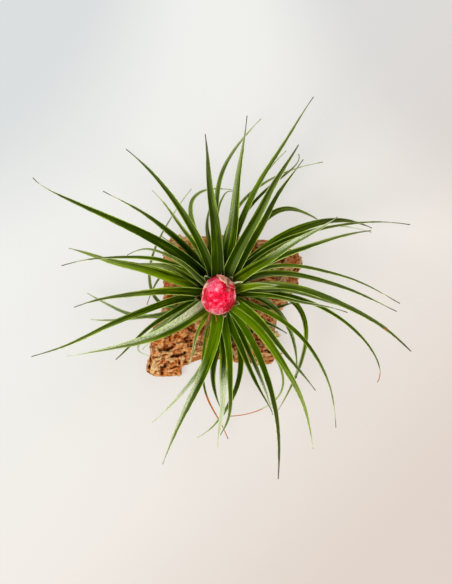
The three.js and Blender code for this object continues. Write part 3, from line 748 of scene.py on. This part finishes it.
def floor_finish():
    """A pale seamless ground that glows a little, cooler at the back and warmer at the front right."""
    material, tree, shader = new_finish("pale ground", {"Roughness": 0.9, "Emission Strength": GROUND_GLOW})
    place = position(tree)
    east = place.axis(0)
    north = place.axis(1)
    distance = place.new("VectorMath", {0: place}, "Value", operation="LENGTH")
    close = distance.ramp(*GROUND_FADE)
    drift = (east - north).ramp(*GROUND_DRIFT, -0.5, 0.5) * close + 0.5
    tint = mix(drift, (137, 138, 137), (138, 133, 128))
    front = (east - north).ramp(*GROUND_FRONT, 0, 0.9)
    far = (abs(east) * north).ramp(*GROUND_BACK).math("MAXIMUM", front)
    tint = mix(far * close, tint, mix(drift, (125, 127, 128), (127, 119, 114)))
    join(tint, shader["Base Color"])
    join(tint, shader["Emission Color"])
    return material


def leaf_line(leaf):
    """The four control points of a leaf's middle line, from inside the stem to its tip."""
    root = direction(leaf.start) * LEAF_ROOT_RADIUS
    root.z = leaf.foot
    end = direction(leaf.tip) * leaf.reach
    end.z = leaf.high
    chord = (end - root).length
    pitch = degrees(asin((leaf.high - leaf.foot) / chord))
    first = root + direction(leaf.start, pitch + leaf.arch) * leaf.arms[0] * chord
    second = end - direction(leaf.heading, pitch - leaf.arch) * leaf.arms[1] * chord
    return root, first, second, end


def point_on(line, part):
    a, b, c, d = line
    rest = 1 - part
    return a * rest ** 3 + b * 3 * rest ** 2 * part + c * 3 * rest * part ** 2 + d * part ** 3


def tangent_on(line, part):
    a, b, c, d = line
    rest = 1 - part
    return ((b - a) * rest ** 2 + (c - b) * 2 * rest * part + (d - c) * part ** 2).normalized()


def leaf_width(part, leaf, length):
    """Widest at the foot and drawn out to a point, with a sheath where it clasps the stem."""
    full = (1 - part ** BLADE_FULLNESS) / (1 - 0.5 ** BLADE_FULLNESS)
    flare = max(0, leaf.sheath - leaf.width * BLADE_ROOT_SHARE)
    sheath = flare * exp(-part * length / SHEATH_LENGTH)
    return max(BLADE_TIP_WIDTH, leaf.width * full ** leaf.taper + sheath)


def add_tube(bm, sides, foot_radius, top_radius, height, rings):
    """A closed tube along Z with its middle at the origin, cut into rings."""
    bmesh.ops.create_cone(bm, cap_ends=True, segments=sides, radius1=foot_radius, radius2=top_radius,
                          depth=height)
    lengthwise = [edge for edge in bm.edges if abs(edge.verts[0].co.z - edge.verts[1].co.z) > height / 2]
    bmesh.ops.subdivide_edges(bm, edges=lengthwise, cuts=rings - 1, use_grid_fill=True)
    shade_smooth(bm)


def blade_template():
    """A round blade of unit size, with a sharp edge down each side."""
    bm = layered(BLADE_LAYERS)
    add_tube(bm, BLADE_SIDES, 1, 1, 1, BLADE_RINGS)
    for edge in bm.edges:
        a, b = (vert.co for vert in edge.verts)
        edge.smooth = not (abs(a.y) < 0.01 and abs(b.y) < 0.01 and a.x * b.x > 0.5)
    return mesh_of(bm, "blade template")


def blade_rings(leaf, draw):
    """Each ring's part of the way along, its middle, its side and upward directions, and its size."""
    line = leaf_line(leaf)
    marks = [point_on(line, step / LENGTH_STEPS) for step in range(LENGTH_STEPS + 1)]
    length = sum((after - before).length for before, after in zip(marks, marks[1:]))
    sway_phase = draw.uniform(0, tau)
    sway_turns = draw.uniform(*SWAY_TURNS)
    roll_tip = draw.uniform(-ROLL, ROLL)
    rings = []
    for ring in range(BLADE_RINGS + 1):
        part = ring / BLADE_RINGS
        tangent = tangent_on(line, part)
        turn = Matrix.Rotation(radians(roll_tip * part), 3, tangent)
        side = turn @ tangent.cross(UP).normalized()
        sway = SWAY * part * sin(sway_phase + sway_turns * tau * part)
        middle = point_on(line, part) + side * sway
        width = leaf_width(part, leaf, length)
        thickness = min(lerp(BLADE_THICKNESS, BLADE_TIP_THICKNESS, part), BLADE_THICKNESS_SHARE * width)
        rings.append((part, middle, side, side.cross(tangent), width, thickness))
    return rings


def blade_look(leaf, tone, part, across, width):
    """What the layers of a blade say at one of its places, in their order."""
    half = ramp(across, -HALF_BLEND, HALF_BLEND)
    frost = lerp(*halves(leaf.frost), half) * ramp(part, leaf.late, leaf.late + FROST_RUN)
    frost *= 1 - FROST_LOSS * ramp(part, leaf.until, leaf.until + FROST_RUN)
    # Painted light on a half, fading towards the tip
    sun = lerp(*halves(leaf.sun), half) * (1 - SUN_LOSS * part)
    edge = halves(leaf.edge)[across > 0]
    # Painted light at the foot: 1 for a leaf that starts towards the light's bearing, 0 for one that starts
    # away from it
    foot_light = 0.5 + 0.5 * cos(radians(leaf.start - FOOT_LIGHT_BEARING))
    scar = 1 - ramp(abs(part - leaf.spot), *SCAR_SIDES)
    dry = ramp(part, leaf.dry + DRY_RUN[0], leaf.dry + DRY_RUN[1])
    dry = max(dry, scar * ramp(across, *SCAR_ACROSS))
    rim = (1 - abs(across)) * width / 2
    return part, across, rim, tone, frost, sun, edge, foot_light, leaf.fade, dry


def add_blade(bm, template, leaf, draw):
    """Adds one leaf: a channelled blade with a crease down its middle and a little sway."""
    before = len(bm.verts)
    bm.from_mesh(template)
    bm.verts.ensure_lookup_table()
    layers = [bm.verts.layers.float[name] for name in BLADE_LAYERS]
    rings = blade_rings(leaf, draw)
    tone = leaf.tone + draw.uniform(-TONE_SPREAD, TONE_SPREAD)
    for vert in bm.verts[before:]:
        part, middle, side, rise, width, thickness = rings[round((vert.co.z + 0.5) * BLADE_RINGS)]
        across = copysign(abs(vert.co.x) ** BLADE_CREASE, vert.co.x) if abs(vert.co.x) > 0.01 else 0
        channel = BLADE_CHANNEL * (1 - BLADE_FLATTENING * part) * abs(across) * width
        vert.co = middle + side * across * width / 2 + rise * (vert.co.y * thickness / 2 + channel)
        set_layers(vert, layers, blade_look(leaf, tone, part, across, width))


def make_leaves(name, rows, template, finish, node, seed):
    draw = random.Random(seed)
    bm = bmesh.new()
    for leaf in rows:
        add_blade(bm, template, leaf, draw)
    finished(bm, name, finish, node)


def make_stem(finish):
    """The short stem, ringed by the scars of its old leaves."""
    bm = bmesh.new()
    height = STEM_TOP - STEM_FOOT
    add_tube(bm, 40, STEM_FOOT_RADIUS, STEM_TOP_RADIUS, height, rings=60)
    bmesh.ops.translate(bm, verts=bm.verts, vec=(0, 0, STEM_FOOT + height / 2))
    for vert in bm.verts:
        angle = atan2(vert.co.y, vert.co.x)
        scar = STEM_SCAR * sin(vert.co.z * STEM_SCAR_PACE + 2 * angle)
        scar += STEM_LUMP * noise(vert.co * STEM_LUMP_PACE)
        away = Vector((vert.co.x, vert.co.y, 0))
        vert.co += away.normalized() * scar if away.length > 1 else Vector()
    finished(bm, "short_stem", finish, "leafy_stem")


def skirt_rows():
    """Dry leaves that lie round the foot of the stem, each turned and cut a little differently."""
    rows = []
    for index in range(SKIRT_COUNT):
        start = index * GOLDEN_ANGLE
        rows.append(Leaf(
            start, tip=start + 12 * sin(index * 1.3), reach=25 + 7 * sin(index * 2.1),
            heading=start + 25 * sin(index * 1.7), width=1.7, foot=27, high=27.6, tone=0.5,
            edge=0.35, fade=0.2, arch=12, sheath=3,
        ))
    return rows


def base_rows():
    """The bases of older leaves in a spiral up the stem, of which every third is dry further out."""
    rows = []
    for index in range(BASE_COUNT):
        start = index * GOLDEN_ANGLE
        foot = BASE_LOWEST + index * BASE_STEP
        rows.append(Leaf(
            start, tip=start, reach=8.4, heading=start, width=4.6, foot=foot, high=foot + BASE_RISE,
            tone=0.2 + 0.2 * sin(index), edge=1, fade=0.5, arch=-24, sheath=7, frost=0.5,
            dry=2 if index % 3 else 0.7,
        ))
    return rows


def bract_spot(bract, along, across):
    """A place on the bud's egg shape, and the way out of it, for a place on a bract."""
    bearing, low, high, half = bract
    angle = radians(lerp(low, high, along))
    out = direction(bearing)
    side = Vector((-out.y, out.x, 0))
    edge = 1 + 0.06 * noise(Vector((along * 3, copysign(2, across), bearing)))
    spread = half * edge * (1 - along ** 5) ** 0.5 * lerp(0.8, 1.0, ramp(along, 0, 0.5))
    lower = HEAD_BELOW - BRACT_CLEARANCE
    height = HEAD_ABOVE if angle > 0 else lower
    aim = out * cos(angle) * HEAD_RADIUS + UP * sin(angle) * height + side * across * spread
    radii = Vector((HEAD_RADIUS, HEAD_RADIUS * HEAD_DEPTH_SCALE, HEAD_ABOVE if aim.z > 0 else lower))
    surface = aim / Vector([part / radius for part, radius in zip(aim, radii)]).length
    normal = Vector([part / radius ** 2 for part, radius in zip(surface, radii)])
    return surface, normal.normalized()


def slit_at(place):
    """How far inside the slit a place on the bud's top is, from 0 to 1."""
    run = SLIT_END - SLIT_START
    offset = place.xy - SLIT_START
    part = clamp(offset.dot(run) / run.length_squared)
    return 1 - ramp((offset - run * part).length, *SLIT_SIDES)


def patches_and_painted_light_at(place):
    """What the patches on the bud's top, painted highlights and painted shade among them, add to its tone
    and to its pallor at a place.
    """
    tone = 0
    pale = 0
    for east, north, radius, more_tone, more_pale in BUD_PATCHES_AND_PAINTED_LIGHT:
        gap = hypot(place.x - east, place.y - north) / radius
        share = (1 - ramp(gap, 0.3, 1)) * ramp(place.z, -2, 0.5)
        tone += more_tone * share
        pale += more_pale * share
    return tone, pale


def add_bract(bm, place, look, index):
    """Adds one bract: a lumpy, rippled sheet that lies on the bud, with its rim lifted."""
    proud, lift, bract_tone, rim_pallor, peach = look
    layers = [bm.verts.layers.float[name] for name in BRACT_LAYERS]
    columns, rows = BRACT_GRID
    for vert in bmesh.ops.create_grid(bm, x_segments=columns, y_segments=rows, size=1)["verts"]:
        across = vert.co.x
        along = (vert.co.y + 1) / 2
        surface, normal = bract_spot(place, min(along, 0.995), across)
        rim = max(abs(across) ** 4, along ** 8)
        lumps = 0.35 * noise(surface * 0.45 + Vector((index * 7, 0, 0)))
        lumps += 0.12 * noise(surface * 1.3)
        ripple = 0.18 * sin(across * 7 + index) * along
        slit = slit_at(surface) if surface.z > 0 else 0
        tone, pale = patches_and_painted_light_at(surface)
        out = proud + lift * rim * along + lumps + ripple - SLIT_DEPTH * slit
        vert.co = surface + normal * out + HEAD_SHIFT
        set_layers(vert, layers, (along, across, bract_tone + tone, pale + peach, slit, rim_pallor))


def make_core(finish):
    """The closed middle of the bud, which narrows to a short stalk."""
    bm = layered(BRACT_LAYERS)
    columns, rows = CORE_GRID
    bmesh.ops.create_uvsphere(bm, u_segments=columns, v_segments=rows, radius=1)
    radius = HEAD_RADIUS - CORE_INSET
    for vert in bm.verts:
        height = HEAD_ABOVE - CORE_INSET if vert.co.z > 0 else HEAD_BELOW
        stalk = HEAD_STALK_RADIUS * ramp(-vert.co.z, 0.8, 0.97)
        across = max(hypot(*vert.co.xy) * radius, stalk)
        heading = Vector((vert.co.x, vert.co.y, 0))
        heading = heading.normalized() if heading.length > 1e-6 else Vector()
        vert.co = heading * across + UP * (HEAD_MIDDLE + vert.co.z * height)
        vert.co.y *= HEAD_DEPTH_SCALE
        vert[bm.verts.layers.float["tone"]] = CORE_TONE
    shade_smooth(bm)
    finished(bm, "bud_core", finish, "flower_head")


def make_bracts(finish):
    """Bracts that overlap round the bud, up to the one folded over its crown."""
    bm = layered(BRACT_LAYERS)
    for index, (place, look) in enumerate(BRACTS):
        add_bract(bm, place, look, index)
    shade_smooth(bm)
    wall = finished(bm, "bud_bracts", finish, "flower_head").modifiers.new("thickness", "SOLIDIFY")
    wall.thickness = BRACT_THICKNESS * MM
    wall.offset = -1


def remeshed(node, voxel, build_up=None):
    """A copy of a frame node's solid, welded and cut into even small faces, in millimetres."""
    bm = bmesh.new()
    bm.from_mesh(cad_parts[node].data)
    bmesh.ops.remove_doubles(bm, verts=bm.verts, dist=1e-6)
    bmesh.ops.scale(bm, verts=bm.verts, vec=(1 / MM, 1 / MM, 1 / MM))
    if build_up:
        build_up(bm)
    copy = linked(node + " copy", mesh_of(bm, node))
    voxels = copy.modifiers.new("voxels", "REMESH")
    voxels.mode = "VOXEL"
    voxels.voxel_size = voxel
    voxels.use_smooth_shade = True
    graph = bpy.context.evaluated_depsgraph_get()
    mesh = bpy.data.meshes.new_from_object(copy.evaluated_get(graph))
    bpy.data.objects.remove(copy)
    bm = bmesh.new()
    bm.from_mesh(mesh)
    bpy.data.meshes.remove(mesh)
    bmesh.ops.recalc_face_normals(bm, faces=bm.faces)
    bm.normal_update()
    return bm


def turned(angle, axis="Z"):
    return Matrix.Rotation(radians(angle), 4, axis)


def add_flake(bm, place, size, turn, tilt, draw):
    """An angular flake of bark with its middle at a place, roughly level."""
    made = bmesh.ops.create_cone(bm, cap_ends=True, segments=draw.choice(FLAKE_CORNERS),
                                 radius1=0.5, radius2=draw.uniform(*FLAKE_TAPER), depth=1)["verts"]
    for vert in made:
        vert.co.x *= draw.uniform(*FLAKE_WARP)
        vert.co.y *= draw.uniform(*FLAKE_WARP)
    spin = turned(turn) @ turned(draw.uniform(-tilt, tilt), "X")
    spin = spin @ turned(draw.uniform(-tilt, tilt), "Y") @ Matrix.Diagonal((*size, 1))
    bmesh.ops.transform(bm, matrix=Matrix.Translation(place) @ spin, verts=made)


def random_spots(faces, count, draw):
    """Places spread evenly over some faces, each with the normal there."""
    spots = []
    for face in draw.choices(faces, [face.calc_area() for face in faces], k=count):
        shares = [draw.random() ** 0.7 + 0.01 for vert in face.verts]
        middle = sum((vert.co * share for vert, share in zip(face.verts, shares)), Vector()) / sum(shares)
        spots.append((middle, face.normal.copy()))
    return spots


def wear_back(bm, foot):
    """Draws the bark's body in, except at its foot and where the plant is seated."""
    moves = []
    for vert in bm.verts:
        seat = ramp(hypot(*vert.co.xy), *CORK_SEAT)
        above = ramp(vert.co.z - foot, 0.5, 3)
        across = -vert.normal.xy * CORK_SIDE_SHARE
        moves.append(Vector((*across, -vert.normal.z)) * CORK_SHRINK * seat * above)
    move_all(bm, moves)


def build_up_cork(bm, flakes):
    """Wears the bark's body back and covers it with flakes, noting the middle of each."""
    draw = random.Random(21)
    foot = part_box("cork_bark")[0].z / MM
    bm.normal_update()
    faces = [face for face in bm.faces if face.calc_center_median().z > foot + 1]
    spots = [random_spots(faces, kind[0], draw) for kind in FLAKES]
    wear_back(bm, foot)
    for middle, size, turn in LEDGE_BLOCKS:
        place = Matrix.Translation((*middle, foot + LEDGE_LIFT + size[2] / 2))
        bmesh.ops.create_cube(bm, size=1, matrix=place @ turned(turn) @ Matrix.Diagonal((*size, 1)))
    for (count, spans, proud, tilt), places in zip(FLAKES, spots):
        for middle, normal in places:
            if hypot(*middle.xy) < CORK_SEAT[1]:
                continue
            size = Vector([draw.uniform(*span) for span in spans])
            if normal.z > 0.6:
                turn = CORK_BEARING + draw.gauss(0, FLAKE_TOP_TURN)
                place = middle - normal * size.z / 2 + UP * draw.uniform(*proud)
            else:
                turn = degrees(atan2(normal.y, normal.x)) + 90 + draw.gauss(0, FLAKE_SIDE_TURN)
                place = middle - normal * (size.y / 2 + draw.uniform(*FLAKE_SINK))
            add_flake(bm, place, size, turn, tilt, draw)
            flakes.append(place)


def hollows(bm):
    """How deep each vertex lies below the smoothed surface."""
    smooth = bm.copy()
    even_out(smooth, 1, HOLLOW_BLUR)
    depths = [(after.co - vert.co).dot(vert.normal) for vert, after in zip(bm.verts, smooth.verts)]
    smooth.free()
    return depths


def cork_relief(place):
    """How far the bark's own roughness stands out at a place: ridges along the grain, and grains."""
    along = Matrix.Rotation(radians(-CORK_BEARING), 3, "Z") @ place
    along.x /= CORK_STRETCH
    ridge = ridged_multi_fractal(along / CORK_RIDGE_SIZE, 0.9, 2.1, 3, 1.0, 2.0) - 1.1
    return CORK_RIDGE * ridge + CORK_GRAIN * noise(place)


def all_cracks(low, high):
    """The cracks read off the ledge, and short ones strewn over the rest, mostly along the grain."""
    draw = random.Random(23)
    cracks = list(CORK_CRACKS)
    for index in range(CRACK_COUNT):
        start = Vector((draw.uniform(low.x, high.x), draw.uniform(low.y, high.y)))
        if start.length < CORK_SEAT[1] or (start.x < LEDGE_CORNER[0] and start.y < LEDGE_CORNER[1]):
            continue
        run = direction(CORK_BEARING + draw.gauss(0, CRACK_TURN)).xy * draw.uniform(*CRACK_LENGTH)
        bend = direction(draw.uniform(0, 360)).xy * CRACK_BEND
        path = [start, start + run / 2 + bend, start + run]
        cracks.append((path, draw.uniform(*CRACK_HALF), draw.uniform(*CRACK_DEPTH)))
    return cracks


def tree_of(places):
    tree = kdtree.KDTree(len(places))
    for index, place in enumerate(places):
        tree.insert(place, index)
    tree.balance()
    return tree


def crack_points(cracks):
    """Points along every crack, each with the half width and the depth there."""
    points = []
    for path, half, deep in cracks:
        path = [Vector(point) for point in path]
        for start, end in zip(path, path[1:]):
            steps = max(1, round((end - start).length / CRACK_STEP))
            points += [(start.lerp(end, step / steps), half, deep) for step in range(steps + 1)]
    return points


def carve_cork(bm, low, high):
    """Roughens the bark, cracks it, keeps it within its box and bites into its outline."""
    points = crack_points(all_cracks(low, high))
    nearest = tree_of([point[0].to_3d() for point in points])
    moves = []
    for vert in bm.verts:
        above = ramp(vert.co.z - low.z, 0.2, 1.5)
        index, gap = nearest.find((vert.co.x, vert.co.y, 0))[1:]
        half, deep = points[index][1:]
        drop = deep * (1 - ramp(gap, 0.3 * half, 1.5 * half))
        drop *= ramp(vert.co.z - low.z, 1, 6)
        moves.append((vert.normal * cork_relief(vert.co) - UP * drop) * above)
    move_all(bm, moves)
    for vert in bm.verts:
        vert.co = [clamp(*limits) for limits in zip(vert.co, low, high)]
        for east, north, radius in CORK_BITES:
            offset = Vector((vert.co.x - east, vert.co.y - north, 0))
            if offset.length < radius:
                vert.co += offset.normalized() * (radius - offset.length)
    bm.normal_update()


def make_cork(finish):
    flakes = []
    bm = remeshed("cork_bark", CORK_VOXEL, lambda body: build_up_cork(body, flakes))
    low, high = (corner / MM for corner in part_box("cork_bark"))
    carve_cork(bm, low, high)
    draw = random.Random(22)
    tones = [draw.random() for flake in flakes]
    nearest = tree_of(flakes)
    crevice = bm.verts.layers.float.new("crevice")
    tone = bm.verts.layers.float.new("tone")
    for vert, depth in zip(bm.verts, hollows(bm)):
        vert[crevice] = depth / HOLLOW_DEPTH
        vert[tone] = tones[nearest.find(vert.co)[1]]
    finished(bm, "cork_bark_chunk", finish, "cork_bark")


def make_roots(finish):
    bm = remeshed("roots", ROOT_VOXEL)
    even_out(bm, 0.5, 2)
    bm.normal_update()
    move_all(bm, [vert.normal * ROOT_KNOTS * noise(vert.co * 1.4) for vert in bm.verts])
    finished(bm, "wiry_roots", finish, "roots")


def make_camera():
    """Looks straight down, as the photograph does."""
    camera = linked("camera", bpy.data.cameras.new("camera"))
    bpy.context.scene.camera = camera
    width, height = PHOTO_SIZE
    east = (width / 2 - PHOTO_AXIS[0]) * MM_PER_PIXEL
    north = (PHOTO_AXIS[1] - height / 2) * MM_PER_PIXEL
    camera.location = Vector((east, north, CAMERA_FOCUS_HEIGHT + CAMERA_DISTANCE)) * MM
    camera.data.lens = camera.data.sensor_width * CAMERA_DISTANCE / (height * MM_PER_PIXEL)
    camera.data.clip_end = 20


def add_lamp(name, place, size, power, tint):
    """A soft square lamp that faces the plant, placed in metres."""
    light = bpy.data.lights.new(name, "AREA")
    light.size = size
    light.energy = power
    light.color = tint
    lamp = linked(name, light)
    lamp.location = place
    lamp.rotation_euler = (Vector(place) - LAMP_AIM).to_track_quat("Z", "Y").to_euler()


def make_studio():
    scene = bpy.context.scene
    scene.view_settings.view_transform = "Standard"
    scene.world = bpy.data.worlds.new("studio")
    scene.world.use_nodes = True
    sky = scene.world.node_tree.nodes["Background"].inputs
    sky["Color"].default_value = SKY_TINT
    sky["Strength"].default_value = SKY_STRENGTH
    add_lamp("key lamp", **KEY_LAMP)
    add_lamp("fill lamp", **FILL_LAMP)
    bm = bmesh.new()
    bmesh.ops.create_grid(bm, x_segments=1, y_segments=1, size=GROUND_SIZE)
    bmesh.ops.translate(bm, verts=bm.verts, vec=(0, 0, -GROUND_DROP))
    ground = linked("ground", mesh_of(bm, "ground", floor_finish()))


make_camera()
make_studio()

scurf = scurf_group()
grain = grain_group()
green = leaf_finish(scurf)
pink = bract_finish(scurf)
blade = blade_template()

make_cork(cork_finish(grain))
make_roots(root_finish(grain))
make_stem(stem_finish(scurf))
for name, rows, seed in (
    ("upper_leaves", UPPER_LEAVES, 11),
    ("middle_leaves", MIDDLE_LEAVES, 12),
    ("lower_leaves", LOWER_LEAVES, 13),
    ("inner_leaves", INNER_LEAVES, 14),
    ("leaf_bases", base_rows(), 18),
):
    make_leaves(name, rows, blade, green, "leafy_stem", seed)
make_leaves("dry_skirt", skirt_rows(), blade, dry_leaf_finish(scurf), "old_leaves", 15)
make_leaves("long_dry_leaf", [LONG_DRY_LEAF], blade, green, "old_leaves", 16)
make_core(pink)
make_bracts(pink)
make_leaves("dried_bracts", DRIED_BRACTS, blade, green, "flower_head", 17)
bpy.data.meshes.remove(blade)
